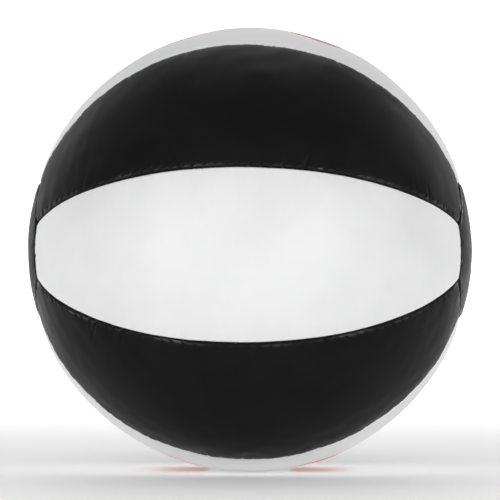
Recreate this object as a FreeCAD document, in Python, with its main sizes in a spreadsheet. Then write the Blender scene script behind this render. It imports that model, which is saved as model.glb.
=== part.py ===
"""A stitched leather medicine ball: eight gores and two octagonal end caps sewn over a stuffed core.

The gores' poles lie on the X axis, Z is up, the front gore faces -Y, and the ball stands on the small
flat that its own weight presses into the bottom gore, whose centre is the origin. Millimetres.
"""

import FreeCAD, Part

import math
import os

import Sketcher

V = FreeCAD.Vector
X_AXIS = V(1, 0, 0)
GORES = 8
GORE_ANGLE = 360.0 / GORES
HALF_GORE = f"{GORE_ANGLE / 2} deg"

doc = FreeCAD.newDocument("medicine_ball")

# ---------------------------------------------------------------- driving dimensions

SIZES = {
    "ball_dia": 300.0,  # outside of the leather
    "rest_dia": 36.0,  # the flat that the ball stands on
    "cap_flats": 92.0,  # end cap, straight across two opposite sides
    "leather": 2.0,  # gore and cap leather
    "seam_gap": 0.2,  # between two turned-in edges
    "edge_round": 3.0,  # outside radius of the fold into a seam
    "turn_in": 9.0,  # depth of the turned-in edge below the surface
    "stitch_depth": 5.5,  # stitch line below the surface
    "stitch_pitch": 7.0,  # along the stitch line
    "end_margin": 5.0,  # from a seam's end to its first stitch
    "thread_dia": 1.0,
    "hole_clear": 0.1,  # around the thread in its hole, and beside the leather
    "canvas": 0.8,  # cloth glued behind the leather
    "glue_line": 0.05,
    "canvas_inset": 0.5,  # from the fold to the cloth's cut edge
    "layer_gap": 0.1,  # between the soft layers
    "wadding": 28.0,  # outer layer of cotton wadding
    "bag_dia": 92.0,  # weight bag at the centre
    "bag_cloth": 1.2,
    "neck_dia": 18.0,  # the bag's gathered neck
    "neck_length": 26.0,
    "tie_dia": 2.0,  # cord round the neck
}

sheet = doc.addObject("Spreadsheet::Sheet", "sizes")
for row, (alias, number) in enumerate(SIZES.items(), start=1):
    sheet.set(f"A{row}", alias)
    sheet.set(f"B{row}", str(number))
    sheet.setAlias(f"B{row}", alias)
doc.recompute()

# What follows from them, as expressions that the features are bound to.
BALL_R = "(sizes.ball_dia / 2)"
CENTRE_Z = "sqrt(sizes.ball_dia ^ 2 - sizes.rest_dia ^ 2) / 2"
CAP_ANGLE = "asin(sizes.cap_flats / sizes.ball_dia)"  # from the pole to the middle of a cap's side
CORNER_ANGLE = f"atan(tan({CAP_ANGLE}) / cos({HALF_GORE}))"
STITCH_R = f"({BALL_R} - sizes.stitch_depth)"
PITCH_ANGLE = f"(sizes.stitch_pitch / {STITCH_R} * 1 rad)"
MARGIN_ANGLE = f"(sizes.end_margin / {STITCH_R} * 1 rad)"
LONG_SEAM = f"(180 deg - 2 * {CORNER_ANGLE})"
CAP_SEAM = f"(2 * asin(sin({CORNER_ANGLE}) * sin({HALF_GORE})))"
HALF_GAP = "(sizes.seam_gap / 2)"
LEATHER_R = f"({BALL_R} - sizes.leather)"
LEATHER_SIDE = f"({HALF_GAP} + sizes.leather)"
HOLE_R = "(sizes.thread_dia / 2 + sizes.hole_clear)"
THREAD_R = "(sizes.thread_dia / 2)"
RUNG_R = "(0.45 * sizes.thread_dia)"  # pulled tight through its hole
KNUCKLE_R = "(0.6 * sizes.thread_dia)"  # where a cap's thread turns a corner
THREAD_ANGLE = f"({THREAD_R} / {STITCH_R} * 1 rad)"
THREAD_OUT = f"({HALF_GAP} + sizes.leather + sizes.hole_clear + {THREAD_R})"
LOOP_TURN = f"atan(tan({HALF_GORE}) * sin({CAP_ANGLE}))"
LOOP_DRAWN_IN = f"tan({HALF_GORE}) * {THREAD_OUT} * cos({CAP_ANGLE}) * cos({LOOP_TURN}) / {STITCH_R}"
LOOP_ANGLE = f"({LOOP_TURN} - asin({LOOP_DRAWN_IN}))"  # from a cap thread's middle to its corner
CANVAS_R = f"({BALL_R} - sizes.leather - sizes.glue_line)"
CANVAS_SIDE = f"({HALF_GAP} + sizes.edge_round + sizes.canvas_inset)"
WADDING_R = f"({CANVAS_R} - sizes.canvas - sizes.layer_gap)"
SLOT_R = f"({BALL_R} - sizes.turn_in - sizes.layer_gap)"
SLOT_HALF = f"({THREAD_OUT} + {THREAD_R} + sizes.layer_gap)"
LONG_SLOT_END = "95 deg"  # from the pole, a little past the middle, where the other half begins
CAP_SLOT_HALF = f"({CAP_SEAM} / 2 + 1.5 deg)"  # a little past the cap's corners
FILL_R = f"({WADDING_R} - sizes.wadding - sizes.layer_gap)"
BAG_R = "(sizes.bag_dia / 2)"
SAND_R = f"({BAG_R} - sizes.bag_cloth - sizes.layer_gap)"
SAND_LEVEL = f"(0.8 * {SAND_R})"  # over the bag's centre
FLAT = f"({CENTRE_Z})"  # height of the pressed flat over the ball's centre, and of each layer's under it
CANVAS_FLAT = f"({FLAT} - sizes.leather - sizes.glue_line)"
WADDING_FLAT = f"({CANVAS_FLAT} - sizes.canvas - sizes.layer_gap)"
WADDING_INSIDE_R = f"({WADDING_R} - sizes.wadding)"
THROAT_R = "(sizes.neck_dia / 3)"
THROAT_TOP = f"({BAG_R} + sizes.neck_length / 3)"
NECK_TOP = f"({BAG_R} + sizes.neck_length)"
TIE_R = "(sizes.tie_dia / 2)"
KNOT_R = "(0.9 * sizes.tie_dia)"
CUT_R = f"(sizes.ball_dia / sin({CAP_ANGLE}))"  # clears the ball and the gore blocks' far corners


def value(expression):
    """The number that an expression comes to, in millimetres or degrees."""
    found = sheet.evalExpression(expression)
    return float(getattr(found, "Value", found))


def count(seam):
    """How many stitches a seam of that angle takes."""
    return int((value(seam) - 2 * value(MARGIN_ANGLE)) / value(PITCH_ANGLE) + 1e-6) + 1


LONG_STITCHES = count(LONG_SEAM)
CAP_STITCHES = count(CAP_SEAM)


def run(stitches):
    """The angle from a seam's first stitch to its last."""
    return f"({stitches - 1} * {PITCH_ANGLE})"


# ---------------------------------------------------------------- sketches and features


def bind(obj, **expressions):
    for path, expression in expressions.items():
        obj.setExpression(path.replace("__", "."), expression)
    return obj


def turn(about, angle):
    """A placement turned about an axis by an angle given as an expression."""
    return FreeCAD.Placement(V(), FreeCAD.Rotation(about, value(angle)))


def sketch(body, name, plane, about=None, angle=None):
    """A sketch on one of the body's origin planes, or on that plane turned about an axis of its own."""
    made = body.newObject("Sketcher::SketchObject", name)
    made.AttachmentSupport = [(next(f for f in body.Origin.OriginFeatures if f.Role == plane), "")]
    made.MapMode = "FlatFace"
    if about is not None:
        made.AttachmentOffset = turn(about, angle)
        bind(made, AttachmentOffset__Rotation__Angle=angle)
    return made


def hold(made, kind, *where, to):
    """Adds a dimension to a sketch and binds it to an expression."""
    index = made.addConstraint(Sketcher.Constraint(kind, *where, value(to)))
    made.setExpression(f"Constraints[{index}]", to)


def hold_point(made, geometry, end, x, y):
    hold(made, "DistanceX", geometry, end, to=x)
    hold(made, "DistanceY", geometry, end, to=y)


def polygon(made, corners):
    """A closed outline through corners, each a pair of expressions."""
    points = [V(value(x), value(y), 0) for x, y in corners]
    for k, (x, y) in enumerate(corners):
        made.addGeometry(Part.LineSegment(points[k], points[(k + 1) % len(points)]), False)
        hold_point(made, k, 1, x, y)
    for k in range(len(points)):
        made.addConstraint(Sketcher.Constraint("Coincident", k, 2, (k + 1) % len(points), 1))
    return made


def circle(made, x, y, radius):
    geometry = made.addGeometry(Part.Circle(V(value(x), value(y), 0), V(0, 0, 1), value(radius)), False)
    hold_point(made, geometry, 3, x, y)
    hold(made, "Radius", geometry, to=radius)
    return made


def arc(made, radius, start, end):
    """An arc about the sketch's origin between two angles, whose ends other constraints hold."""
    whole = Part.Circle(V(), V(0, 0, 1), value(radius))
    angles = [math.radians(value(start)), math.radians(value(end))]
    geometry = made.addGeometry(Part.ArcOfCircle(whole, *angles), False)
    made.addConstraint(Sketcher.Constraint("Coincident", geometry, 3, -1, 1))
    hold(made, "Radius", geometry, to=radius)
    return geometry


def join(made, a, a_end, b, b_end):
    """A straight line from one arc's end to another's."""
    ends = [made.getPoint(a, a_end), made.getPoint(b, b_end)]
    line = made.addGeometry(Part.LineSegment(*ends), False)
    made.addConstraint(Sketcher.Constraint("Coincident", line, 1, a, a_end))
    made.addConstraint(Sketcher.Constraint("Coincident", line, 2, b, b_end))
    return line


def half_ring(made, inner, outer):
    """The upper half of a ring, closed along the sketch's horizontal axis."""
    small, large = (arc(made, radius, "0 deg", "180 deg") for radius in (inner, outer))
    for line_end in (1, 2):
        join(made, small, line_end, large, line_end)
        made.addConstraint(Sketcher.Constraint("PointOnObject", small, line_end, -1))
        made.addConstraint(Sketcher.Constraint("PointOnObject", large, line_end, -1))
    return made


def ring_sector(made, inner, outer, start, end):
    """The part of a ring between two angles from the sketch's horizontal axis."""
    small, large = (arc(made, radius, start, end) for radius in (inner, outer))
    for line_end, angle in ((1, start), (2, end)):
        join(made, small, line_end, large, line_end)
        hold(made, "DistanceX", small, line_end, to=f"{inner} * cos({angle})")
        hold(made, "DistanceX", large, line_end, to=f"{outer} * cos({angle})")
    return made


def feature(body, kind, name, profile=None, **settings):
    made = body.newObject(f"PartDesign::{kind}", name)
    if profile is not None:
        made.Profile = profile
    for key, setting in settings.items():
        setattr(made, key, setting)
    return made


def origin_axis(body, role):
    return next(f for f in body.Origin.OriginFeatures if f.Role == role)


def round_pattern(body, name, *originals):
    """Repeats features once per gore, round the X axis."""
    made = feature(body, "PolarPattern", name, Originals=list(originals))
    made.Axis = (origin_axis(body, "X_Axis"), [""])
    made.Occurrences = GORES
    made.Angle = 360
    body.Tip = made
    return made


def new_body(name):
    return doc.addObject("PartDesign::Body", name)


def sphere_edges(feature_made, radius):
    """The names of the edges round the faces that lie on the ball's outer sphere."""
    shape = feature_made.Shape
    rim = [
        edge
        for face in shape.Faces
        if isinstance(face.Surface, Part.Sphere) and abs(face.Surface.Radius - radius) < 1e-6
        for edge in face.Edges
    ]
    return [f"Edge{k}" for k, e in enumerate(shape.Edges, 1) if any(e.isSame(r) for r in rim)]


def trim_to_sphere(body, name, radius):
    """Takes away all that stands outside a sphere about the ball's centre."""
    profile = half_ring(sketch(body, f"{name}_trim_profile", "XY_Plane"), radius, CUT_R)
    return feature(body, "Groove", f"{name}_trim", profile, ReferenceAxis=(profile, ["H_Axis"]), Angle=360)


def round_rim(body, name, radius, rounding):
    doc.recompute()
    base = body.Tip
    made = feature(body, "Fillet", f"{name}_fold", Base=(base, sphere_edges(base, value(radius))))
    return bind(made, Radius=rounding)


# ---------------------------------------------------------------- blocks that the sewn layers are cut from


def press_flat(body, name, height):
    """Cuts off what stands above a height, where the ball's own weight presses the layer flat."""
    flat = feature(body, "SubtractiveBox", f"{name}_flat")
    width = "(sizes.ball_dia / 2)"
    bind(flat, Length=width, Width=width, Height=width)
    bind(flat, Placement__Base__x=f"-{width} / 2", Placement__Base__y=f"-{width} / 2")
    bind(flat, Placement__Base__z=height)


def gore_block(name, radius, side, rounding=None, flat=None):
    """The pyramid of the ball that one gore covers, drawn in from its seams, looking along +Z.

    Its long sides lean by half a gore either side of the XZ plane, and its short sides, along the cap
    seams, by the cap's angle from the X axis.
    """
    body = new_body(name)
    wedge = feature(body, "AdditiveWedge", f"{name}_pyramid")
    wedge.Placement = FreeCAD.Placement(V(), FreeCAD.Rotation(X_AXIS, 90))
    low, high = "(0.1 * sizes.ball_dia)", "(0.6 * sizes.ball_dia)"
    for height, x_key, z_key in ((low, "X", "Z"), (high, "X2", "Z2")):
        long_half = f"({height} / tan({CAP_ANGLE}) - {side} / sin({CAP_ANGLE}))"
        wide_half = f"({height} * tan({HALF_GORE}) - {side} / cos({HALF_GORE}))"
        bind(wedge, **{f"{x_key}max": long_half, f"{x_key}min": f"-{long_half}"})
        bind(wedge, **{f"{z_key}max": wide_half, f"{z_key}min": f"-{wide_half}"})
    bind(wedge, Ymin=low, Ymax=high)
    trim_to_sphere(body, name, radius)
    if rounding:
        round_rim(body, name, radius, rounding)
    if flat:
        press_flat(body, name, flat)
    return body


def cap_block(name, radius, side, rounding=None):
    """The octagonal pyramid of the ball that an end cap covers, drawn in from its seams, along +X."""
    body = new_body(name)
    ball = feature(body, "AdditiveSphere", f"{name}_ball")
    ball.Placement = FreeCAD.Placement(V(), FreeCAD.Rotation(V(0, 0, 1), 180))
    bind(ball, Radius=radius)
    apex = f"({side} / sin({CAP_ANGLE}))"
    reach = "(0.6 * sizes.ball_dia)"
    corners = [(apex, "0")]
    corners += [(f"{apex} + {reach}", f"{reach} * tan({CAP_ANGLE})"), (f"{apex} + {reach}", reach)]
    corners += [(f"-{reach}", reach), (f"-{reach}", "0")]
    profile = polygon(sketch(body, f"{name}_side_profile", "XZ_Plane"), corners)
    pocket = feature(body, "Pocket", f"{name}_side", profile, Type="ThroughAll", Midplane=True)
    round_pattern(body, f"{name}_sides", pocket)
    if rounding:
        round_rim(body, name, radius, rounding)
    return body


def cut_out(body, name, *tools):
    """Cuts other bodies out of this one."""
    made = feature(body, "Boolean", f"{name}_hollow", Type="Cut")
    made.setObjects(list(tools))
    return made


def cut_core(body, name, radius):
    """Takes away all that lies deeper than a sphere about the ball's centre."""
    core = feature(body, "SubtractiveSphere", f"{name}_open_back")
    core.Placement = FreeCAD.Placement(V(), FreeCAD.Rotation(V(0, 0, 1), 180))
    bind(core, Radius=radius)


def core_ball(name, radius, flat=None):
    """A plain ball to cut a layer's inside with, pressed flat on top if the layer is."""
    body = new_body(name)
    bind(feature(body, "AdditiveSphere", f"{name}_ball"), Radius=radius)
    if flat:
        press_flat(body, name, flat)
    return body


# ---------------------------------------------------------------- seams

# A long seam lies in the XZ plane turned about X, and its middle is on +Z of that plane.
# A cap seam lies in the XY plane turned about Y, and its middle is on +X of that plane.
RIGHT_CAP = dict(about=V(0, -1, 0), angle=CAP_ANGLE)
LEFT_CAP = dict(about=V(0, -1, 0), angle=f"180 deg - {CAP_ANGLE}")


def stitch_row(body, name, kind, radius, stitches, length, plane, about=None, angle=None, round_cap=False):
    """A row of round holes or rungs square to a seam's plane, spread about the seam's middle.

    With round_cap, the row is repeated on all eight sides of an end cap.
    """
    profile = sketch(body, f"{name}_profile", plane, about, angle)
    along, across = f"{STITCH_R} * cos({run(stitches)} / 2)", f"-{STITCH_R} * sin({run(stitches)} / 2)"
    long_seam = plane == "XZ_Plane"
    circle(profile, *((across, along) if long_seam else (along, across)), radius)
    first = feature(body, kind, name, profile, Midplane=True)
    bind(first, Length=length)
    if round_cap:
        many = feature(body, "MultiTransform", f"{name}_sides", Originals=[first])
        row = body.newObject("PartDesign::PolarPattern", f"{name}_row")
        sides = body.newObject("PartDesign::PolarPattern", f"{name}_eightfold")
        sides.Axis = (origin_axis(body, "X_Axis"), [""])
        sides.Occurrences = GORES
        sides.Angle = 360
        many.Transformations = [row, sides]
        body.Tip = many
    else:
        row = feature(body, "PolarPattern", f"{name}_row", Originals=[first])
        body.Tip = row
    row.Axis = (profile, ["N_Axis"])
    row.Occurrences = stitches
    row.Reversed = long_seam
    bind(row, Angle=run(stitches))


# ---------------------------------------------------------------- leather


def gore_leather(name, flat=None):
    """One gore, blocked over the ball, its four edges turned in and pierced for the stitches."""
    inner_flat = flat and f"{flat} - sizes.leather"
    body = gore_block(name, BALL_R, HALF_GAP, "sizes.edge_round", flat)
    fold_inside = "sizes.edge_round - sizes.leather"
    hollow = gore_block(f"{name}_inside", LEATHER_R, LEATHER_SIDE, fold_inside, inner_flat)
    cut_out(body, name, hollow)
    cut_core(body, name, f"{BALL_R} - sizes.turn_in")
    wide = f"2 * ({LEATHER_SIDE} + sizes.leather)"
    for side, sign in (("upper", 1), ("lower", -1)):
        lean = dict(about=V(sign, 0, 0), angle=HALF_GORE)
        stitch_row(body, f"{name}_{side}_hole", "Pocket", HOLE_R, LONG_STITCHES, wide, "XZ_Plane", **lean)
    for side, lean in (("right", RIGHT_CAP), ("left", LEFT_CAP)):
        stitch_row(body, f"{name}_{side}_hole", "Pocket", HOLE_R, CAP_STITCHES, wide, "XY_Plane", **lean)
    return body


def cap_leather(name):
    """An end cap: an octagon of leather, its eight edges turned in and pierced for the stitches."""
    body = cap_block(name, BALL_R, HALF_GAP, "sizes.edge_round")
    hollow = cap_block(f"{name}_inside", LEATHER_R, LEATHER_SIDE, "sizes.edge_round - sizes.leather")
    cut_out(body, name, hollow)
    cut_core(body, name, f"{BALL_R} - sizes.turn_in")
    wide = f"2 * ({LEATHER_SIDE} + sizes.leather)"
    seam = dict(plane="XY_Plane", round_cap=True, **RIGHT_CAP)
    stitch_row(body, f"{name}_hole", "Pocket", HOLE_R, CAP_STITCHES, wide, **seam)
    return body


# ---------------------------------------------------------------- thread


def thread_bar(body, name, plane, x, y, axis, sweep, **turned):
    """The thread along one side of a seam: a round bar bent about the ball's centre."""
    profile = circle(sketch(body, f"{name}_profile", plane, **turned), x, y, THREAD_R)
    bar = feature(body, "Revolution", name, profile, ReferenceAxis=(profile, [axis]), Midplane=True)
    return bind(bar, Angle=sweep)


def long_thread(name):
    """The saddle stitch of one long seam: a thread along each side and a rung through every hole."""
    body = new_body(name)
    whole = f"({run(LONG_STITCHES)} + 2 * {THREAD_ANGLE})"
    thread_bar(body, f"{name}_over", "YZ_Plane", THREAD_OUT, STITCH_R, "H_Axis", whole)
    thread_bar(body, f"{name}_under", "YZ_Plane", f"-{THREAD_OUT}", STITCH_R, "H_Axis", whole)
    stitch_row(body, f"{name}_rung", "Pad", RUNG_R, LONG_STITCHES, f"2 * {THREAD_OUT}", "XZ_Plane")
    return body


def cap_thread(name):
    """The saddle stitch round an end cap: one loop inside the cap, and a thread along each gore's end."""
    body = new_body(name)
    lean = dict(about=V(0, 0, 1), angle=CAP_ANGLE)
    short = f"({run(CAP_STITCHES)} + 2 * {THREAD_ANGLE})"
    whole = f"(2 * {LOOP_ANGLE} - {THREAD_ANGLE})"
    turn_out = f"{STITCH_R} * cos({LOOP_ANGLE})"
    corner = feature(body, "AdditiveSphere", f"{name}_corner")
    bind(corner, Radius=KNUCKLE_R, Placement__Base__y=f"{STITCH_R} * sin({LOOP_ANGLE})")
    bind(corner, Placement__Base__x=f"{turn_out} * cos({CAP_ANGLE}) + {THREAD_OUT} * sin({CAP_ANGLE})")
    bind(corner, Placement__Base__z=f"{turn_out} * sin({CAP_ANGLE}) - {THREAD_OUT} * cos({CAP_ANGLE})")
    loop = thread_bar(body, f"{name}_loop", "XZ_Plane", STITCH_R, f"-{THREAD_OUT}", "V_Axis", whole, **lean)
    round_pattern(body, f"{name}_ring", corner, loop)
    over = thread_bar(body, f"{name}_over", "XZ_Plane", STITCH_R, THREAD_OUT, "V_Axis", short, **lean)
    round_pattern(body, f"{name}_bars", over)
    seam = dict(plane="XY_Plane", round_cap=True, **RIGHT_CAP)
    stitch_row(body, f"{name}_rung", "Pad", RUNG_R, CAP_STITCHES, f"2 * {THREAD_OUT}", **seam)
    return body


# ---------------------------------------------------------------- canvas


def gore_canvas(name, flat=None):
    """The cloth glued behind a gore, cut short of the turned-in edges."""
    inner_flat = flat and f"{flat} - sizes.canvas"
    body = gore_block(name, CANVAS_R, CANVAS_SIDE, flat=flat)
    cut_out(body, name, core_ball(f"{name}_inside", f"{CANVAS_R} - sizes.canvas", inner_flat))
    return body


def cap_canvas(name):
    """The cloth glued behind an end cap."""
    body = cap_block(name, CANVAS_R, CANVAS_SIDE)
    cut_core(body, name, f"{CANVAS_R} - sizes.canvas")
    return body


# ---------------------------------------------------------------- stuffing


def wadding_half(name, flat):
    """Half of the wadding, a cup that faces the other half, with room for the seams' turned-in edges."""
    body = new_body(name)
    cup = feature(body, "AdditiveSphere", f"{name}_cup")
    cup.Placement = FreeCAD.Placement(V(), FreeCAD.Rotation(V(0, 1, 0), 90))
    bind(cup, Radius=WADDING_R, Angle1=f"sizes.layer_gap / 2 / {WADDING_R} * 1 rad")
    press_flat(body, name, flat)
    cut_core(body, name, WADDING_INSIDE_R)
    long_slot = sketch(body, f"{name}_long_slot_profile", "XZ_Plane", X_AXIS, HALF_GORE)
    ring_sector(long_slot, SLOT_R, CUT_R, CORNER_ANGLE, LONG_SLOT_END)
    first_long = feature(body, "Pocket", f"{name}_long_slot", long_slot, Midplane=True)
    bind(first_long, Length=f"2 * {SLOT_HALF}")
    cap_slot = sketch(body, f"{name}_cap_slot_profile", "XY_Plane", **RIGHT_CAP)
    ring_sector(cap_slot, SLOT_R, CUT_R, f"-{CAP_SLOT_HALF}", CAP_SLOT_HALF)
    first_cap = feature(body, "Pocket", f"{name}_cap_slot", cap_slot, Midplane=True)
    bind(first_cap, Length=f"2 * {SLOT_HALF}")
    round_pattern(body, f"{name}_slots", first_long, first_cap)
    return body


def bar_on_z(body, kind, name, low, high, **radii):
    """A cylinder or cone on the Z axis between two heights."""
    made = feature(body, kind, name)
    bind(made, Height=f"{high} - {low}", Placement__Base__z=low, **radii)
    return made


def core_fill(name):
    """The packed textile core, moulded round the weight bag and its neck."""
    body = new_body(name)
    bind(feature(body, "AdditiveSphere", f"{name}_ball"), Radius=FILL_R)
    bind(feature(body, "SubtractiveSphere", f"{name}_bag_room"), Radius=f"{BAG_R} + sizes.layer_gap")
    neck_room = "sizes.neck_dia / 2 + sizes.tie_dia"
    room_top = f"({NECK_TOP} + sizes.layer_gap)"
    bar_on_z(body, "SubtractiveCylinder", f"{name}_neck_room", "0", room_top, Radius=neck_room)
    return body


def weight_bag(name):
    """The cloth bag at the centre: a round bag gathered into a neck with a loose frill above the tie."""
    body = new_body(name)
    foot = f"({BAG_R} - 2 * sizes.bag_cloth)"
    bind(feature(body, "AdditiveSphere", f"{name}_ball"), Radius=BAG_R)
    bar_on_z(body, "AdditiveCylinder", f"{name}_throat", foot, THROAT_TOP, Radius=THROAT_R)
    frill = dict(Radius1=THROAT_R, Radius2="sizes.neck_dia / 2")
    bar_on_z(body, "AdditiveCone", f"{name}_frill", THROAT_TOP, NECK_TOP, **frill)
    bind(feature(body, "SubtractiveSphere", f"{name}_inside"), Radius=f"{BAG_R} - sizes.bag_cloth")
    bar_on_z(body, "SubtractiveCylinder", f"{name}_mouth", "0", THROAT_TOP, Radius="sizes.bag_cloth")
    mouth = dict(Radius1="sizes.bag_cloth", Radius2="sizes.neck_dia / 2 - sizes.bag_cloth")
    bar_on_z(body, "SubtractiveCone", f"{name}_frill_inside", THROAT_TOP, NECK_TOP, **mouth)
    return body


def weight_sand(name):
    """The sand that fills the bag nearly to its throat."""
    body = new_body(name)
    bind(feature(body, "AdditiveSphere", f"{name}_ball"), Radius=SAND_R)
    press_flat(body, name, SAND_LEVEL)
    return body


def bag_tie(name):
    """The cord knotted round the bag's throat."""
    body = new_body(name)
    height = f"({BAG_R} + {THROAT_TOP}) / 2"
    ring = feature(body, "AdditiveTorus", f"{name}_ring")
    bind(ring, Radius1=f"{THROAT_R} + {TIE_R} + sizes.hole_clear", Radius2=TIE_R)
    bind(ring, Placement__Base__z=height)
    knot = feature(body, "AdditiveSphere", f"{name}_knot")
    bind(knot, Radius=KNOT_R, Placement__Base__z=height)
    bind(knot, Placement__Base__x=f"{THROAT_R} + sizes.tie_dia + sizes.hole_clear")
    return body


# ---------------------------------------------------------------- assembly

UP = V(0, 0, 1)
parts = {}


def place(name, body, *rotations):
    """Names a finished sub-part and sets it in the ball, turned about the ball's centre."""
    rotation = FreeCAD.Rotation()
    for axis, angle in rotations:
        rotation = FreeCAD.Rotation(axis, angle).multiply(rotation)
    body.Label = name
    body.Placement = FreeCAD.Placement(V(0, 0, value(CENTRE_Z)), rotation)
    bind(body, Placement__Base__z=CENTRE_Z)
    parts[name] = body


# Each gore's turn about the X axis from straight up.
GORE_TURNS = {
    "top": 0,
    "upper_front": 45,
    "front": 90,
    "lower_front": 135,
    "bottom": 180,
    "lower_rear": 225,
    "rear": 270,
    "upper_rear": 315,
}
for where, angle in GORE_TURNS.items():
    pressed = where == "bottom"
    panel = gore_leather(f"{where}_gore", FLAT if pressed else None)
    place(f"{where}_gore", panel, (X_AXIS, angle))
    lining = gore_canvas(f"{where}_canvas", CANVAS_FLAT if pressed else None)
    place(f"{where}_canvas", lining, (X_AXIS, angle))

# A long seam is named after the two gores that it joins.
order = list(GORE_TURNS)
for first, second in zip(order, order[1:] + order[:1]):
    name = f"{first}_to_{second}_stitching"
    place(name, long_thread(name), (X_AXIS, GORE_TURNS[first] + GORE_ANGLE / 2))

for side, angle in (("right", 0), ("left", 180)):
    place(f"{side}_end_cap", cap_leather(f"{side}_end_cap"), (UP, angle))
    place(f"{side}_cap_canvas", cap_canvas(f"{side}_cap_canvas"), (UP, angle))
    place(f"{side}_cap_stitching", cap_thread(f"{side}_cap_stitching"), (UP, angle))
    place(f"{side}_wadding", wadding_half(f"{side}_wadding", WADDING_FLAT), (X_AXIS, 180), (UP, angle))

place("core_fill", core_fill("core_fill"))
place("weight_bag", weight_bag("weight_bag"))
place("weight_sand", weight_sand("weight_sand"))
place("bag_tie", bag_tie("bag_tie"))

doc.recompute()

# ---------------------------------------------------------------- checks and export

faulty = [o.Name for o in doc.Objects if "Invalid" in o.State or "Error" in o.State]
faulty += [name for name, body in parts.items() if body.Shape.isNull() or not body.Shape.isValid()]
if faulty:
    raise SystemExit("not built cleanly: " + ", ".join(faulty))

os.makedirs("parts", exist_ok=True)
for name, body in parts.items():
    body.Shape.exportStep(f"parts/{name}.step")
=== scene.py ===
import math

import bmesh
import bpy
import numpy as np
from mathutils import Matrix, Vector


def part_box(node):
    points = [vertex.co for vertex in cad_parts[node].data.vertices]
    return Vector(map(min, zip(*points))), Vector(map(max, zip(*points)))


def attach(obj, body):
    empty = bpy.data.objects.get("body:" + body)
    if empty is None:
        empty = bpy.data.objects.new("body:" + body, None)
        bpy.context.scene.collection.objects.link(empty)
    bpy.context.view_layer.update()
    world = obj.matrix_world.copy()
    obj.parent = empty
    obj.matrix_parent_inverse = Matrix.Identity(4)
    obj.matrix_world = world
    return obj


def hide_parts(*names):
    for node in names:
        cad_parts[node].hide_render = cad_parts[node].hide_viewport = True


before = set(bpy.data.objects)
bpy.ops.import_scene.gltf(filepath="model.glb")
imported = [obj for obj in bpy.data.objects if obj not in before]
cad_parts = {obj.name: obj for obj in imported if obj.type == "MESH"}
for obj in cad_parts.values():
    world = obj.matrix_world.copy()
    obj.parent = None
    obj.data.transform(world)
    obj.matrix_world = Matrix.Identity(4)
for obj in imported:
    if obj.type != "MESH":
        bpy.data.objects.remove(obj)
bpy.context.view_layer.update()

# ================================================================ leather gores
# Eight panels of 2 mm cowhide, dyed black or finished white, blocked over the stuffed ball.
# Each has its edges turned in and is sewn to its neighbours through them, so that it rolls
# down into every seam and is dimpled where each stitch pulls on it.

RADIUS = float(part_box("right_end_cap")[1][0])
CENTRE_Z = float(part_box("top_gore")[1][2]) - RADIUS
HALF_GORE = math.radians(22.5)
CAP_FLATS = 0.092
CAP_ANGLE = math.asin(CAP_FLATS / 0.300)  # from the pole to the middle of a cap's side
PITCH_ANGLE = 0.0070 / 0.1445  # stitch pitch on the stitch line
LONG_STITCHES = 50
CAP_STITCHES = 4  # on each of its eight sides

LEATHER = 0.0020
SEAM_GAP = 0.00012  # from the seam's plane to the turned-in edge
ROLL = 0.0019  # radius of the fold into the seam
TURN_IN = 0.0088
SEAM_SINK = 0.0007  # how far the stitches draw a whole edge down
SINK_WIDTH = 0.0060
DIMPLE = 0.00045  # depth of a stitch's dimple
DIMPLE_WIDTH = 0.15  # in stitches
DIMPLE_SLANT = 80  # stitches per metre away from the seam
DIMPLE_AWAY, DIMPLE_LENGTH = 0.0026, 0.0013  # from the seam to a dimple's middle, and its reach
DEEPEST_CREASE = 0.0009
LIP = 0.0012  # how far from the seam the creases die out
PUCKER_WIDTH = 0.016  # from a seam to where the small unevenness of its pull dies out
RIDGE = 0.0018  # from a seam to the crest beside it, which hands and floors polish and where a highlight is painted into the colour
RIDGE_WIDTH = 0.0009

# Distances from a seam at which the rows near it run, closer together on the fold.
FOLD_ANGLES = (0, 13, 26, 39, 52, 65, 78, 90)
FOLD_ROWS = [SEAM_GAP + ROLL * (1 - math.cos(math.radians(a))) for a in FOLD_ANGLES]
FLAT_ROWS = [0.0026, 0.0032, 0.0039, 0.0047, 0.0056, 0.0067, 0.0080, 0.0094, 0.0110]
EDGE_ROWS = np.array(FOLD_ROWS + FLAT_ROWS)
ROWS_ACROSS = 65  # middle rows, with the two outermost edge rows
ROWS_ALONG = 585
COARSE = 4  # the unseen inside of a panel takes every fourth row
FLANGE_DOWN = (0.35, 0.7, 1.0)  # shares of the way down a turned-in edge
FLANGE_BACK = (TURN_IN, 0.0060, 0.0036)  # depths on the way up its inner face


def waves(points, seed, longest, shortest, number=28):
    """Smooth random lumps of about unit height, with wavelengths between two lengths."""
    draw = np.random.default_rng(seed)
    total = np.zeros(points.shape[:-1])
    for _ in range(number):
        way = draw.normal(size=3)
        way *= 2 * math.pi / np.linalg.norm(way) / draw.uniform(shortest, longest)
        total += np.cos(points @ way + draw.uniform(0, 2 * math.pi))
    return total / math.sqrt(number / 2)


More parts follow.
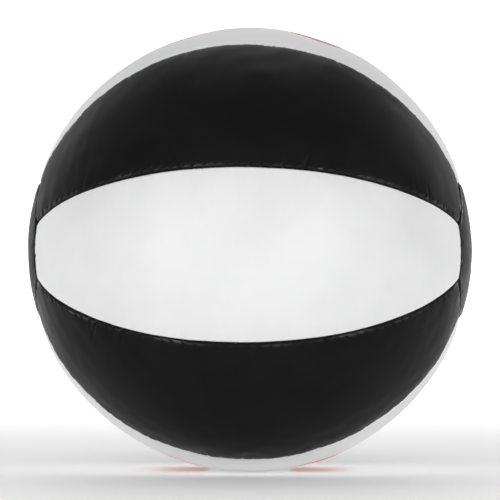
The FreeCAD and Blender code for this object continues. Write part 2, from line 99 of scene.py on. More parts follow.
def seam_pull(seed, stitches, along, away, strength):
    """How far the stitches of one seam press the leather in, at a place along it and a distance from it.

    along is in stitches from the seam's middle, away in metres. Each stitch pulls a narrow slanted dimple
    between two puffs, and a few draw a longer crease away from the seam.
    """
    draw = np.random.default_rng(seed)
    force = draw.uniform(0.6, 1.25, stitches)
    drift = draw.uniform(-0.12, 0.12, stitches)
    along = along + (stitches - 1) / 2
    slanted = along - DIMPLE_SLANT * away
    nearest = np.clip(np.rint(slanted), 0, stitches - 1).astype(int)
    off = (slanted - nearest - drift[nearest]) / DIMPLE_WIDTH
    pull = DIMPLE * force[nearest] * np.exp(-off**2) * np.exp(-(((away - DIMPLE_AWAY) / DIMPLE_LENGTH) ** 2))
    for stitch in range(stitches):
        if draw.random() < 0.5:
            slant, length, width = draw.uniform(-60, 60), draw.uniform(0.004, 0.012), draw.uniform(0.10, 0.18)
            crease = DEEPEST_CREASE * draw.random() ** 3
            line = (along - stitch - slant * away) / width
            near = np.abs(line) < 3
            fade = np.exp(-((away[near] / length) ** 2)) * (1 - np.exp(-away[near] / LIP))
            pull[near] += crease * np.exp(-line[near] ** 2) * fade
    return strength * pull


def fold_depth(edge_x, edge_y=None):
    """How far the fold lies below the ball's surface, from one or two distances to a seam."""
    fold = np.clip(1 - (edge_x - SEAM_GAP) / ROLL, 0, 1)
    if edge_y is not None:
        fold = np.hypot(fold, np.clip(1 - (edge_y - SEAM_GAP) / ROLL, 0, 1))
    return ROLL * (1 - np.sqrt(1 - np.clip(fold, 0, 1) ** 2))


def rows(number):
    """A panel's rows: each one's place from side to side, -1 to 1, and its distance from its side's seam."""
    edge = np.ones(len(EDGE_ROWS) - 1)
    share = np.concatenate([-edge, np.linspace(-1, 1, number), edge])
    away = np.full(len(share), EDGE_ROWS[-1])
    away[: len(EDGE_ROWS)] = EDGE_ROWS
    away[-len(EDGE_ROWS) :] = EDGE_ROWS[::-1]
    return share, away


def gore_directions(share_x, away_x, share_y, away_y):
    """Angles along and around the ball at which a gore's rows cross, at their distances from the seams."""
    along = share_y * 0.9
    around = share_x * HALF_GORE * 0.8
    for _ in range(8):
        around = share_x * (HALF_GORE - np.arcsin(np.clip(away_x / (RADIUS * np.cos(along)), -0.99, 0.99)))
        lean = np.cos(around) * math.cos(CAP_ANGLE)
        reach = np.hypot(lean, math.sin(CAP_ANGLE))
        along = share_y * (np.arccos(away_y / (RADIUS * reach)) - np.arctan2(math.sin(CAP_ANGLE), lean))
    return along, around


def gore_point(along, around, depth, turn):
    """Points of a gore below the ball's surface, the gore turned about the X axis from straight up."""
    out = RADIUS - depth
    angle = turn + np.arctan2(-np.sin(around), np.cos(around))
    x = out * np.sin(along)
    y = -out * np.cos(along) * np.sin(angle)
    z = out * np.cos(along) * np.cos(angle)
    return np.stack([x, y, z + CENTRE_Z], axis=-1)


def rim_of(grid):
    """The border of a grid as one loop."""
    return np.concatenate([grid[:-1, 0], grid[-1, :-1], grid[:0:-1, -1], grid[0, :0:-1]])


def ring_faces(outer, inner):
    """Quads between two closed loops of the same length."""
    return np.stack([outer, np.roll(outer, -1), np.roll(inner, -1), inner], axis=-1).reshape(-1, 4).tolist()


def new_piece(name, points, faces, finish):
    """A smooth mesh object with outward faces."""
    mesh = bpy.data.meshes.new(name)
    mesh.from_pydata(np.asarray(points).tolist(), [], faces)
    mesh.validate()
    shell = bmesh.new()
    shell.from_mesh(mesh)
    bmesh.ops.recalc_face_normals(shell, faces=shell.faces)
    shell.to_mesh(mesh)
    shell.free()
    mesh.shade_smooth()
    piece = bpy.data.objects.new(name, mesh)
    bpy.context.scene.collection.objects.link(piece)
    mesh.materials.append(finish)
    return piece


def crest(away, pressed):
    """1 on the puffs of leather beside a seam, and 0 in their dimples and far from it."""
    return np.exp(-(((away - RIDGE) / RIDGE_WIDTH) ** 2)) * (1 - np.clip(pressed / (0.6 * DIMPLE), 0, 1))


def add_wear_and_sheen(piece, worn_and_sheen):
    """Stores how worn each point is, which is also how strongly a highlight is painted there."""
    wear_and_sheen = piece.data.attributes.new("seam_wear", "FLOAT", "POINT")
    wear_and_sheen.data.foreach_set("value", worn_and_sheen.astype(np.float32))


def gore(name, turn, seeds, strength, finish):
    """One gore as a closed leather shell: its outside, the turned-in edges, and its inside."""
    share_x, away_x = (v[:, None] for v in rows(ROWS_ACROSS))
    share_y, away_y = (v[None, :] for v in rows(ROWS_ALONG))
    fold_x, fold_y = (1 - (away - SEAM_GAP) / ROLL for away in (away_x, away_y))
    corner = np.maximum(np.hypot(np.clip(fold_x, 0, 1), np.clip(fold_y, 0, 1)), 1.0)
    on_corner = (fold_x > 0) & (fold_y > 0)
    away_x, away_y = (
        np.where(on_corner, SEAM_GAP + ROLL * (1 - fold / corner), away + 0 * corner)
        for fold, away in ((fold_x, away_x), (fold_y, away_y))
    )
    along, around = gore_directions(share_x, away_x, share_y, away_y)

    def depth_at(along, around):
        edge_x = RADIUS * np.sin(HALF_GORE - np.abs(around)) * np.cos(along)
        toward, lean = np.abs(np.sin(along)), np.cos(along) * np.cos(around)
        edge_y = RADIUS * (lean * math.cos(CAP_ANGLE) - toward * math.sin(CAP_ANGLE))
        edge_x, edge_y = np.maximum(edge_x, 0), np.maximum(edge_y, 0)
        place = gore_point(along, around, 0 * along, turn)
        sunk = np.exp(-edge_x / SINK_WIDTH) + np.exp(-edge_y / SINK_WIDTH)
        depth = fold_depth(edge_x, edge_y) + SEAM_SINK * sunk
        pressed = 0 * depth
        for side, seed in ((1, seeds[0]), (-1, seeds[1])):
            pull = seam_pull(seed, LONG_STITCHES, along / PITCH_ANGLE, edge_x, strength)
            pressed += np.where(around * side > 0, pull, 0)
        across = np.cos(along) * np.sin(around)
        middle = toward * math.cos(CAP_ANGLE) + lean * math.sin(CAP_ANGLE)
        for side, seed in ((1, seeds[2]), (-1, seeds[3])):
            pull = seam_pull(seed, CAP_STITCHES, np.arctan2(across, middle) / PITCH_ANGLE, edge_y, strength)
            pressed += np.where(along * side > 0, pull, 0)
        depth += pressed
        near = np.exp(-np.minimum(edge_x, edge_y) / PUCKER_WIDTH)
        depth += 0.00022 * waves(place, seeds[4], 0.090, 0.034)
        depth += strength * (0.00003 + 0.00012 * near) * waves(place, seeds[4] + 50, 0.022, 0.009)
        return depth, crest(np.minimum(edge_x, edge_y), pressed)

    # How deep each point lies, and its wear on the seam crests, where a highlight is painted too.
    depth, worn_and_sheen = depth_at(along, around)
    outside = gore_point(along, around, depth, turn)
    outside[..., 2] = np.maximum(outside[..., 2], 0)  # the bottom gore is pressed flat on the floor
    number = outside.shape[0] * outside.shape[1]
    index = np.arange(number).reshape(outside.shape[:2])
    points, faces, wear_and_sheen = [outside.reshape(-1, 3)], [], [worn_and_sheen.ravel()]
    quads = np.stack([index[:-1, :-1], index[1:, :-1], index[1:, 1:], index[:-1, 1:]], axis=-1)
    faces += quads.reshape(-1, 4).tolist()

    def add_ring(ring):
        nonlocal number
        points.append(ring)
        wear_and_sheen.append(np.zeros(len(ring)))
        number += len(ring)
        return np.arange(number - len(ring), number)

    # The turned-in edge: down its outer face, round its cut end, and up its inner face.
    last = rim_of(index)
    rim = [rim_of(v + 0 * depth) for v in (share_x, away_x, share_y, away_y)]
    rim_along, rim_around = rim_of(along), rim_of(around)
    rim_depth = rim_of(depth)
    for down in FLANGE_DOWN:
        ring = add_ring(gore_point(rim_along, rim_around, rim_depth + down * (TURN_IN - rim_depth), turn))
        faces += ring_faces(last, ring)
        last = ring
    thick_x, thick_y = (np.where(np.abs(share) > 0.999, LEATHER, 0) for share in (rim[0], rim[2]))
    back_x, back_y = (
        np.where(away < EDGE_ROWS[-1] - 1e-6, away + thick * (away < LEATHER), away)
        for away, thick in ((rim[1], thick_x), (rim[3], thick_y))
    )
    back_along, back_around = gore_directions(rim[0], back_x, rim[2], back_y)
    for down in FLANGE_BACK:
        ring = add_ring(gore_point(back_along, back_around, down + 0 * back_along, turn))
        faces += ring_faces(last, ring)
        last = ring

    # The inside, on every fourth row, fanned out to the full number of points at its border.
    pick = (slice(COARSE, -COARSE, COARSE), slice(COARSE, -COARSE, COARSE))
    coarse = gore_point(along[pick], around[pick], depth[pick] + LEATHER, turn)
    coarse[..., 2] = np.maximum(coarse[..., 2], LEATHER)
    inner = add_ring(coarse.reshape(-1, 3)).reshape(coarse.shape[:2])
    quads = np.stack([inner[:-1, :-1], inner[:-1, 1:], inner[1:, 1:], inner[1:, :-1]], axis=-1)
    faces += quads.reshape(-1, 4).tolist()
    rim_grid = np.full(index.shape, -1)
    rim_grid[tuple(rim_of(g) for g in np.indices(index.shape))] = last
    sides = (
        (rim_grid[0, :], inner[0, :]),
        (rim_grid[-1, :], inner[-1, :]),
        (rim_grid[:, 0], inner[:, 0]),
        (rim_grid[:, -1], inner[:, -1]),
    )
    for fine, sparse in sides:
        for cell in range((len(fine) - 1) // COARSE):
            a, b, c, d, e = fine[cell * COARSE : (cell + 1) * COARSE + 1].tolist()
            left, right = (int(sparse[min(max(k - 1, 0), len(sparse) - 1)]) for k in (cell, cell + 1))
            faces += [(a, b, left), (b, c, left), (c, d, right), (d, e, right)]
            if left != right:
                faces.append((c, right, left))
    piece = new_piece(name, np.concatenate(points), faces, finish)
    add_wear_and_sheen(piece, np.concatenate(wear_and_sheen))
    return piece


class Signal:
    """A socket in a finish. Arithmetic on it adds Math nodes."""

    def __init__(self, finish, socket):
        self.finish, self.socket = finish, socket

    def math(self, operation, *values):
        return self.finish.add("Math", {"operation": operation}, dict(enumerate(values)))

    def __add__(self, other):
        return self.math("ADD", self, other)

    def __sub__(self, other):
        return self.math("SUBTRACT", self, other)

    def __rsub__(self, other):
        return self.math("SUBTRACT", other, self)

    def __mul__(self, other):
        return self.math("MULTIPLY", self, other)

    def __pow__(self, other):
        return self.math("POWER", self, other)

    def __abs__(self):
        return self.math("ABSOLUTE", self)

    __radd__, __rmul__ = __add__, __mul__

    def higher(self, other):
        return self.math("MAXIMUM", self, other)

    def smooth(self, low, high):
        """0 below low, 1 above high, and a soft step between."""
        settings = {"interpolation_type": "SMOOTHSTEP"}
        return self.finish.add("MapRange", settings, {"Value": self, "From Min": low, "From Max": high})


class Finish:
    """A material of one Principled shader, whose nodes add() makes."""

    def __init__(self, name, **constants):
        self.material = bpy.data.materials.new(name)
        self.material.use_nodes = True
        self.tree = self.material.node_tree
        self.shader = self.tree.nodes["Principled BSDF"]
        for socket, value in constants.items():
            self.shader.inputs[socket.replace("_", " ")].default_value = value
        self.place = self.add("TexCoord", out="Object")

    def add(self, kind, settings=None, sockets=None, out=0):
        """A node of a type, with its settings set first and then its sockets' values or links."""
        node = self.tree.nodes.new("ShaderNode" + kind)
        for key, value in (settings or {}).items():
            if key == "stops":
                ramp = node.color_ramp
                while len(ramp.elements) < len(value):
                    ramp.elements.new(0.5)
                for element, (position, colour) in zip(ramp.elements, value):
                    element.position, element.color = position, (*colour, 1)
            else:
                setattr(node, key, value)
        for key, value in (sockets or {}).items():
            if isinstance(value, Signal):
                self.tree.links.new(value.socket, node.inputs[key])
            else:
                node.inputs[key].default_value = value
        return Signal(self, node.outputs[out])

    def noise(self, size, detail=2.0, rough=0.5):
        """Soft noise between 0 and 1 whose features are about size metres across."""
        sockets = {"Vector": self.place, "Scale": 1 / size, "Detail": detail, "Roughness": rough}
        return self.add("TexNoise", None, sockets)

    def cells(self, size, feature="F1", out="Distance", place=None):
        """Cells about size metres across."""
        sockets = {"Vector": place or self.place, "Scale": 1 / size}
        return self.add("TexVoronoi", {"feature": feature}, sockets, out)

    def mix(self, factor, first, second):
        """A colour between two others."""
        colours = [(*c, 1) if isinstance(c, tuple) else c for c in (first, second)]
        return self.add("Mix", {"data_type": "RGBA"}, {0: factor, 6: colours[0], 7: colours[1]}, 2)

    def stretch(self, x, y, z):
        """The place, stretched along the axes."""
        return self.add("VectorMath", {"operation": "MULTIPLY"}, {0: self.place, 1: (x, y, z)})

    def split(self):
        """The place's X, Y and Z."""
        return [self.add("SeparateXYZ", None, {0: self.place}, axis) for axis in "XYZ"]

    def use(self, colour=None, roughness=None, height=None, rise=0.0001, bump=1.0, **others):
        """Feeds the shader with what varies over the surface. height is a relief of about rise metres."""
        links = {"Base Color": colour, "Roughness": roughness}
        links |= {socket.replace("_", " "): value for socket, value in others.items()}
        if height is not None:
            links["Normal"] = self.add("Bump", None, {"Height": height, "Distance": rise, "Strength": bump})
        for socket, value in links.items():
            if value is not None:
                self.tree.links.new(value.socket, self.shader.inputs[socket])
        return self.material


def leather(name, light, dark, rubbed_and_highlight, gleam, shine, polish, relief, mark=False):
    """Full-grain leather: pebbled grain with pores, faint creases, and seam edges polished by handling and
    painted lighter as a highlight.
    """
    finish = Finish(name, IOR=1.5, Specular_IOR_Level=gleam, Coat_Roughness=0.22)
    wear_and_sheen = finish.add("Attribute", {"attribute_name": "seam_wear"}, None, "Fac")
    cloud = finish.noise(0.045, 4, 0.6)
    pebbles = finish.cells(0.0011, "SMOOTH_F1")
    pores = finish.noise(0.0004, 2, 0.6)
    vein = finish.cells(0.0075, "DISTANCE_TO_EDGE").smooth(0.0, 0.10)
    grain = pebbles * 0.55 + pores * 0.25 + vein * 0.35
    colour = finish.mix(cloud.smooth(0.3, 0.7), dark, light)
    # Painted highlight: the crests beside the seams are painted a lighter colour, partly as real rubbing.
    colour = finish.mix(wear_and_sheen, colour, rubbed_and_highlight)
    if mark:  # two printed bars with rounded corners, one to each side of the middle
        x, y, _ = finish.split()
        far = (abs(abs(x) - 0.0450) - 0.0085).higher(0)
        wide = (abs(y) - 0.0110).higher(0)
        inside = 1 - ((far**2 + wide**2) ** 0.5).smooth(0.0082, 0.0086)
        colour = finish.mix(inside, colour, (0.56, 0.016, 0.030))
    gloss = shine + cloud.smooth(0.25, 0.75) * 0.07 + pores * 0.05
    coat = wear_and_sheen * polish * finish.noise(0.030, 2).smooth(0.40, 0.60)
    return finish.use(colour, gloss, grain, 0.00006, relief, Coat_Weight=coat)


# The third colour is the seam crests', rubbed and painted lighter as a highlight.
WHITE = ((0.84, 0.84, 0.845), (0.80, 0.80, 0.805), (0.86, 0.86, 0.86), 0.4, 0.38, 0.2, 0.35)
white_leather = leather("white leather", *WHITE)
marked_leather = leather("white leather with red bars", *WHITE, mark=True)
# Its third colour, too, is painted lighter on the seam crests as a highlight.
BLACK = ((0.0100, 0.0100, 0.0108), (0.0075, 0.0075, 0.0080), (0.014, 0.014, 0.014), 0.05, 0.33, 0.9, 0.5)
black_leather = leather("black leather", *BLACK)

GORES = ["top", "upper_front", "front", "lower_front", "bottom", "lower_rear", "rear", "upper_rear"]
for number, where in enumerate(GORES):
    white = number % 2 == 0
    seeds = (100 + number, 100 + (number - 1) % 8, 120 + number, 130 + number, 140 + number)
    finish = black_leather if not white else marked_leather if where in ("top", "bottom") else white_leather
    panel = gore(f"leather_{where}", number * 2 * HALF_GORE, seeds, 0.55 if white else 1.0, finish)
    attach(panel, "root")
    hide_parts(f"{where}_gore")

# ================================================================ end caps
# An octagon of the same black cowhide closes each pole, where the eight gores' points are cut away.
# Its edges are turned in and sewn like theirs, and the stuffing crowns it a little.

CAP_SPACING = 0.0011  # between a cap's points along its sides
CORNER_BLEND = 0.0009  # how softly two sides' folds meet in a corner
CAP_INSIDE = LEATHER + 0.0004


def cap_directions(side_angle, away):
    """Angle from the pole of points at a distance from a cap's side and an angle round from its middle."""
    lean = np.cos(side_angle) * math.cos(CAP_ANGLE)
    reach = np.hypot(math.sin(CAP_ANGLE), lean)
    return np.arccos(away / (RADIUS * reach)) - np.arctan2(lean, math.sin(CAP_ANGLE))


def cap_point(pole, from_pole, round_pole, depth):
    """Points of a cap below the ball's surface. pole is 1 for the right cap and -1 for the left."""
    out = RADIUS - depth
    spread = out * np.sin(from_pole)
    x = pole * out * np.cos(from_pole)
    y = spread * np.sin(round_pole)
    z = spread * np.cos(round_pole)
    return np.stack([x, y, z + CENTRE_Z], axis=-1)


def end_cap(name, pole, seed, finish):
    """An octagonal leather shell: rings from its border to the pole, turned-in edges, and its inside."""
    steps = round(CAP_FLATS * math.tan(HALF_GORE) / CAP_SPACING)
    side_angle = np.tile(np.linspace(-HALF_GORE, HALF_GORE, steps, endpoint=False), 8)
    round_pole = side_angle + np.repeat(np.arange(8), steps) * 2 * HALF_GORE
    border = cap_directions(side_angle, EDGE_ROWS[-1])
    edge = [cap_directions(side_angle, away) for away in EDGE_ROWS]
    middle = [border * share for share in np.linspace(1, 0.02, 34)[1:]]
    from_pole = np.stack(edge + middle)
    round_all = round_pole + 0 * from_pole

    def side_distance(turned):
        """Distance from the side whose middle the points are turned away from."""
        across = np.sin(from_pole) * np.cos(turned)
        return RADIUS * (np.cos(from_pole) * math.sin(CAP_ANGLE) - across * math.cos(CAP_ANGLE))

    nearest = side_distance(side_angle)
    beside = np.minimum(side_distance(side_angle - 2 * HALF_GORE), side_distance(side_angle + 2 * HALF_GORE))
    near_edge = -CORNER_BLEND * np.log(np.exp(-nearest / CORNER_BLEND) + np.exp(-beside / CORNER_BLEND))
    nearest = np.maximum(nearest, 0)
    depth = fold_depth(np.maximum(near_edge, SEAM_GAP)) + SEAM_SINK * np.exp(-nearest / SINK_WIDTH)
    across, lean = np.sin(from_pole) * np.sin(side_angle), np.sin(from_pole) * np.cos(side_angle)
    along = np.arctan2(across, np.cos(from_pole) * math.cos(CAP_ANGLE) + lean * math.sin(CAP_ANGLE))
    pressed = 0 * depth
    for side in range(8):
        mine = np.repeat(np.arange(8) == side, steps) & (from_pole > 0)
        pull = seam_pull(seed + side, CAP_STITCHES, along / PITCH_ANGLE, nearest, 1.0)
        pressed += np.where(mine, pull, 0)
    depth += pressed
    place = cap_point(pole, from_pole, round_all, 0)
    depth += 0.00018 * waves(place, seed + 20, 0.070, 0.030)
    depth += (0.00003 + 0.00008 * np.exp(-nearest / PUCKER_WIDTH)) * waves(place, seed + 21, 0.022, 0.009)

    outside = cap_point(pole, from_pole, round_all, depth)
    flange = [(edge[0], depth[0] + down * (TURN_IN - depth[0])) for down in FLANGE_DOWN]
    back = cap_directions(side_angle, SEAM_GAP + LEATHER)
    flange += [(back, down + 0 * back) for down in FLANGE_BACK]
    inside = [(border * share, CAP_INSIDE + 0 * border) for share in (0.95, 0.7, 0.45, 0.2, 0.04)]
    rings = list(outside[::-1])
    rings += [cap_point(pole, angle, round_pole, deep) for angle, deep in flange + inside]
    around = len(round_pole)
    index = np.arange(len(rings) * around).reshape(len(rings), around)
    faces = []
    for outer, inner in zip(index, index[1:]):
        faces += ring_faces(outer, inner)
    centres = [cap_point(pole, 0.0, 0.0, deep) for deep in (depth[-1].mean(), CAP_INSIDE)]
    points = np.concatenate(rings + [np.array(centres)])
    tips = (len(points) - 2, len(points) - 1)
    for ring, tip in ((index[0], tips[0]), (index[-1], tips[1])):
        faces += [(int(a), int(b), tip) for a, b in zip(ring, np.roll(ring, -1))]
    piece = new_piece(name, points, faces, finish)
    # The seam crests' wear, which also sets where a highlight is painted.
    wear_and_sheen = crest(nearest, pressed)[::-1].ravel()
    add_wear_and_sheen(piece, np.concatenate([wear_and_sheen, np.zeros(len(points) - len(wear_and_sheen))]))
    return piece


for side, pole, seed in (("right", 1, 200), ("left", -1, 240)):
    cap = end_cap(f"leather_{side}_cap", pole, seed, black_leather)
    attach(cap, "root")
    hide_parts(f"{side}_end_cap")

# ================================================================ stitching
# Every seam is sewn by hand with one waxed, two-ply black thread of 1 mm. It goes through both
# turned-in edges, comes up in the crease, crosses it on a slant and goes down again.

THREAD = 0.0010
# Across the seam, below the surface (millimetres), and along it in stitches.
STITCH_PATH = [
    (-2.7, 5.5, -0.42),
    (-1.3, 3.0, -0.26),
    (-0.7, 2.10, -0.14),
    (0.0, 1.90, 0.0),
    (0.7, 2.10, 0.14),
    (1.3, 3.0, 0.26),
    (2.7, 5.5, 0.42),
    (0.0, 6.2, 0.5),
]
CREASE_DEPTH = 3  # millimetres; above it the thread lies in the crease, higher or lower from stitch to stitch


def tube(name, path, diameter, finish, sides=8):
    """A round thread along a path of points."""
    way = np.gradient(path, axis=0)
    way /= np.linalg.norm(way, axis=1, keepdims=True)
    out = path - np.array([0, 0, CENTRE_Z])
    side = np.cross(way, out)
    side /= np.linalg.norm(side, axis=1, keepdims=True)
    up = np.cross(side, way)
    angle = np.linspace(0, 2 * math.pi, sides, endpoint=False)
    ring = np.cos(angle)[None, :, None] * side[:, None] + np.sin(angle)[None, :, None] * up[:, None]
    points = path[:, None] + ring * diameter / 2
    index = np.arange(len(path) * sides).reshape(len(path), sides)
    faces = []
    for first, second in zip(index, index[1:]):
        faces += ring_faces(first, second)
    faces += [index[0].tolist()[::-1], index[-1].tolist()]
    return new_piece(name, points.reshape(-1, 3), faces, finish)


def smooth_path(points, number):
    """A smooth curve through points, with a number of steps between each two."""
    ends = np.concatenate([points[:1] * 2 - points[1:2], points, points[-1:] * 2 - points[-2:-1]])
    a, b, c, d = (ends[k : len(ends) - 3 + k, None] for k in range(4))
    t = np.linspace(0, 1, number, endpoint=False)[None, :, None]
    curve = 0.5 * (2 * b + (c - a) * t + (2 * a - 5 * b + 4 * c - d) * t**2 + (3 * b - a - 3 * c + d) * t**3)
    return np.concatenate([curve.reshape(-1, points.shape[1]), points[-1:]])


def stitch_line(stitches, seed):
    """One seam's thread as distances across it, depths and angles along it."""
    draw = np.random.default_rng(seed)
    knots = []
    for stitch in np.arange(stitches) - (stitches - 1) / 2:
        slip, rise = draw.uniform(-0.10, 0.10), draw.uniform(-0.25, 0.2)
        for across, deep, on in STITCH_PATH:
            down = deep + rise * (deep < CREASE_DEPTH)
            knots.append((across / 1000, down / 1000, (stitch + on + slip) * PITCH_ANGLE))
    return smooth_path(np.array(knots), 4).T


def on_seam(line, middle, way, normal):
    """Places a stitch line on a seam, from the unit vectors of its middle, its direction and its plane."""
    across, deep, along = line
    out = (RADIUS - deep)[:, None] * (np.cos(along)[:, None] * middle + np.sin(along)[:, None] * way)
    return out + across[:, None] * normal + np.array([0, 0, CENTRE_Z])


thread_finish = Finish("waxed black thread")
twist = {"Vector": thread_finish.place, "Scale": 900.0}
ply = thread_finish.add("TexWave", {"wave_type": "BANDS", "bands_direction": "DIAGONAL"}, twist)
fuzz = thread_finish.noise(0.0003, 3, 0.7)
black_thread = thread_finish.use(
    thread_finish.mix(fuzz.smooth(0.3, 0.8), (0.005, 0.005, 0.005), (0.022, 0.022, 0.022)),
    0.5 + fuzz * 0.25,
    ply * 0.7 + fuzz * 0.3,
    0.00012,
    0.8,
)

for number, where in enumerate(GORES):
    turn = (2 * number + 1) * HALF_GORE
    middle = np.array([0, -math.sin(turn), math.cos(turn)])
    normal = np.array([0, math.cos(turn), math.sin(turn)])
    path = on_seam(stitch_line(LONG_STITCHES, 300 + number), middle, np.array([1.0, 0, 0]), normal)
    sewing = tube(f"thread_{where}", path, THREAD, black_thread)
    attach(sewing, "root")
    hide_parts(f"{where}_to_{GORES[(number + 1) % 8]}_stitching")

for side, pole, seed in (("right", 1, 320), ("left", -1, 340)):
    for number in range(8):
        angle = number * 2 * HALF_GORE
        out = np.array([0, math.sin(angle), math.cos(angle)])
        way = np.array([0, math.cos(angle), -math.sin(angle)])
        middle = math.sin(CAP_ANGLE) * out + np.array([pole * math.cos(CAP_ANGLE), 0, 0])
        normal = math.cos(CAP_ANGLE) * out - np.array([pole * math.sin(CAP_ANGLE), 0, 0])
        path = on_seam(stitch_line(CAP_STITCHES, seed + number), middle, way, normal)
        sewing = tube(f"thread_{side}_cap_{number + 1}", path, THREAD, black_thread)
        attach(sewing, "root")
        if number == 0:
            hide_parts(f"{side}_cap_stitching")

# ================================================================ canvas lining
# Plain-weave cotton canvas glued behind each panel so that the leather doesn't stretch out of shape.


def finish_nodes(finish, *nodes):
    """Gives CAD nodes a finish."""
    for node in nodes:
        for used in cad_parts[node].material_slots:
            used.material = finish


def weave(finish, count):
    """A plain weave as a height, from bands of threads in two directions."""
    sockets = {"Vector": finish.place, "Scale": count}
    warp = finish.add("TexWave", {"bands_direction": "X"}, sockets)
    weft = finish.add("TexWave", {"bands_direction": "DIAGONAL"}, sockets)
    return warp.higher(weft)


canvas = Finish("cotton canvas", Sheen_Weight=0.2)
threads = weave(canvas, 160.0)
slub = canvas.noise(0.004, 3, 0.6)
ecru = canvas.mix(threads * 0.6 + slub * 0.4, (0.36, 0.30, 0.20), (0.62, 0.56, 0.43))
canvas_finish = canvas.use(ecru, 0.80 + slub * 0.15, threads, 0.0003)
finish_nodes(canvas_finish, *(f"{where}_canvas" for where in GORES), "right_cap_canvas", "left_cap_canvas")

# ================================================================ stuffing
# Two cups of felted cotton wadding round a core of packed, shredded textile.

wadding = Finish("felted cotton wadding", Sheen_Weight=0.4)
tufts = wadding.noise(0.006, 6, 0.7)
cream = wadding.mix(tufts.smooth(0.3, 0.75), (0.60, 0.56, 0.48), (0.84, 0.81, 0.74))
finish_nodes(wadding.use(cream, 0.85 + tufts * 0.1, tufts, 0.002), "right_wadding", "left_wadding")

shreds = Finish("shredded textile", Sheen_Weight=0.2)
scraps = shreds.cells(0.010, "F1", "Color", shreds.stretch(1.0, 0.45, 1.3))
edges = shreds.cells(0.010, "F1", "Distance", shreds.stretch(1.0, 0.45, 1.3))
rag_colours = [
    (0.0, (0.06, 0.08, 0.14)),
    (0.35, (0.30, 0.30, 0.32)),
    (0.65, (0.45, 0.38, 0.30)),
    (1.0, (0.20, 0.07, 0.06)),
]
pick = shreds.add("SeparateXYZ", None, {0: scraps}, "X")
rags = shreds.add("ValToRGB", {"stops": rag_colours}, {"Fac": pick})
finish_nodes(shreds.use(rags, 0.85 + edges * 0.1, edges + shreds.noise(0.002, 4) * 0.4, 0.002), "core_fill")

# ================================================================ weight bag
# A striped cotton ticking bag of dry sand at the centre, its neck gathered and tied with braided cord.

ticking = Finish("cotton ticking", Sheen_Weight=0.1)
bands = ticking.add("TexWave", {"bands_direction": "X"}, {"Vector": ticking.place, "Scale": 25.0})
cloth = weave(ticking, 240.0)
striped = ticking.mix(bands.smooth(0.72, 0.80), (0.58, 0.52, 0.40), (0.06, 0.09, 0.18))
finish_nodes(ticking.use(striped, 0.75 + cloth * 0.1, cloth, 0.0002), "weight_bag")

sand = Finish("dry sand")
grains = sand.cells(0.0007, "F1", "Color")
shade = sand.add("SeparateXYZ", None, {0: grains}, "X")
buff = sand.mix(shade, (0.42, 0.32, 0.20), (0.72, 0.62, 0.46))
finish_nodes(sand.use(buff, 0.7 + shade * 0.2, sand.cells(0.0007), 0.0005), "weight_sand")

cord = Finish("braided cord", Sheen_Weight=0.2)
braid = weave(cord, 420.0)
natural = cord.mix(braid, (0.34, 0.30, 0.24), (0.68, 0.64, 0.55))
finish_nodes(cord.use(natural, 0.75 + braid * 0.1, braid, 0.0003), "bag_tie")

# ================================================================ studio
# A white sweep under and behind the ball that glows with painted light, dimmer under the ball as a painted
# shadow, two soft boxes in front, two weaker ones behind the sides and one high behind. The ball is seen from
# a little above and to the right of its middle.

# Painted light: the sweep glows though it is no lamp, and its glow lights the ball from below and behind.
sweep_finish = Finish("white sweep with painted glow", Roughness=0.9, Emission_Strength=0.72)
x, y, _ = sweep_finish.split()
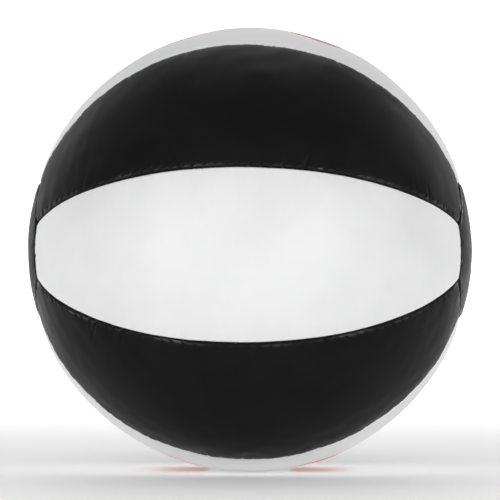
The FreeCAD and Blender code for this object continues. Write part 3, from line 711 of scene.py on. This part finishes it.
# Painted light: no lamps shine through the sweep; it glows itself behind the ball and in front, and glows
# less under the ball, as a painted shadow, and far to its sides.
painted_glow_share = ((x**2 + y**2) ** 0.5).smooth(0.15, 1.0) * (1 - abs(x).smooth(0.5, 1.3))
sweep_finish.use(
    sweep_finish.mix(sweep_finish.noise(0.6, 2), (0.90, 0.90, 0.90), (0.92, 0.92, 0.92)),
    Emission_Color=sweep_finish.mix(painted_glow_share, (0.30, 0.30, 0.30), (1, 1, 1)),
)
TABLE_END, BEND, WALL_TOP, HALF_WIDTH = 2.0, 1.2, 5.0, 5.0
profile = [(-6.0, 0.0), (TABLE_END, 0.0)]
bend = np.linspace(0, math.pi / 2, 24)[1:]
profile += [(TABLE_END + BEND * math.sin(a), BEND - BEND * math.cos(a)) for a in bend]
profile += [(TABLE_END + BEND, WALL_TOP)]
points = [(x, y, z) for y, z in profile for x in (-HALF_WIDTH, HALF_WIDTH)]
faces = [(2 * k, 2 * k + 1, 2 * k + 3, 2 * k + 2) for k in range(len(profile) - 1)]
sweep = new_piece("studio_sweep", points, faces, sweep_finish.material)

centre = Vector((0, 0, CENTRE_Z))


def look_from(viewer, azimuth, elevation, distance):
    """Puts a light or camera at two angles in degrees and a distance from the ball, facing it."""
    a, e = math.radians(azimuth), math.radians(elevation)
    back = Vector((math.sin(a) * math.cos(e), -math.cos(a) * math.cos(e), math.sin(e)))
    viewer.location = centre + distance * back
    viewer.rotation_euler = (-back).to_track_quat("-Z", "Y").to_euler()
    bpy.context.scene.collection.objects.link(viewer)


def soft_light(name, azimuth, elevation, distance, width, height, power):
    """An area light that looks at the ball."""
    light = bpy.data.lights.new(name, "AREA")
    light.shape, light.size, light.size_y, light.energy = "RECTANGLE", width, height, power
    lamp = bpy.data.objects.new(name, light)
    look_from(lamp, azimuth, elevation, distance)


soft_light("left_front_box", -42, 12, 2.6, 0.8, 1.0, 18)
soft_light("right_front_box", 42, 12, 2.6, 0.8, 1.0, 18)
soft_light("left_rim_box", -135, 18, 2.4, 0.8, 1.6, 3.0)
soft_light("right_rim_box", 135, 18, 2.4, 0.8, 1.6, 3.0)
soft_light("high_back_box", 180, 58, 2.2, 1.6, 0.8, 3)

world = bpy.data.worlds.new("soft room light")
world.use_nodes = True
world.node_tree.nodes["Background"].inputs["Color"].default_value = (1, 1, 1, 1)
world.node_tree.nodes["Background"].inputs["Strength"].default_value = 0.34
bpy.context.scene.world = world
bpy.context.scene.view_settings.view_transform = "Standard"

camera_data = bpy.data.cameras.new("camera")
camera_data.sensor_width = 36.0
camera_data.lens = 287.0
camera = bpy.data.objects.new("camera", camera_data)
look_from(camera, 2.2, 1.3, 18 * RADIUS)
bpy.context.scene.camera = camera
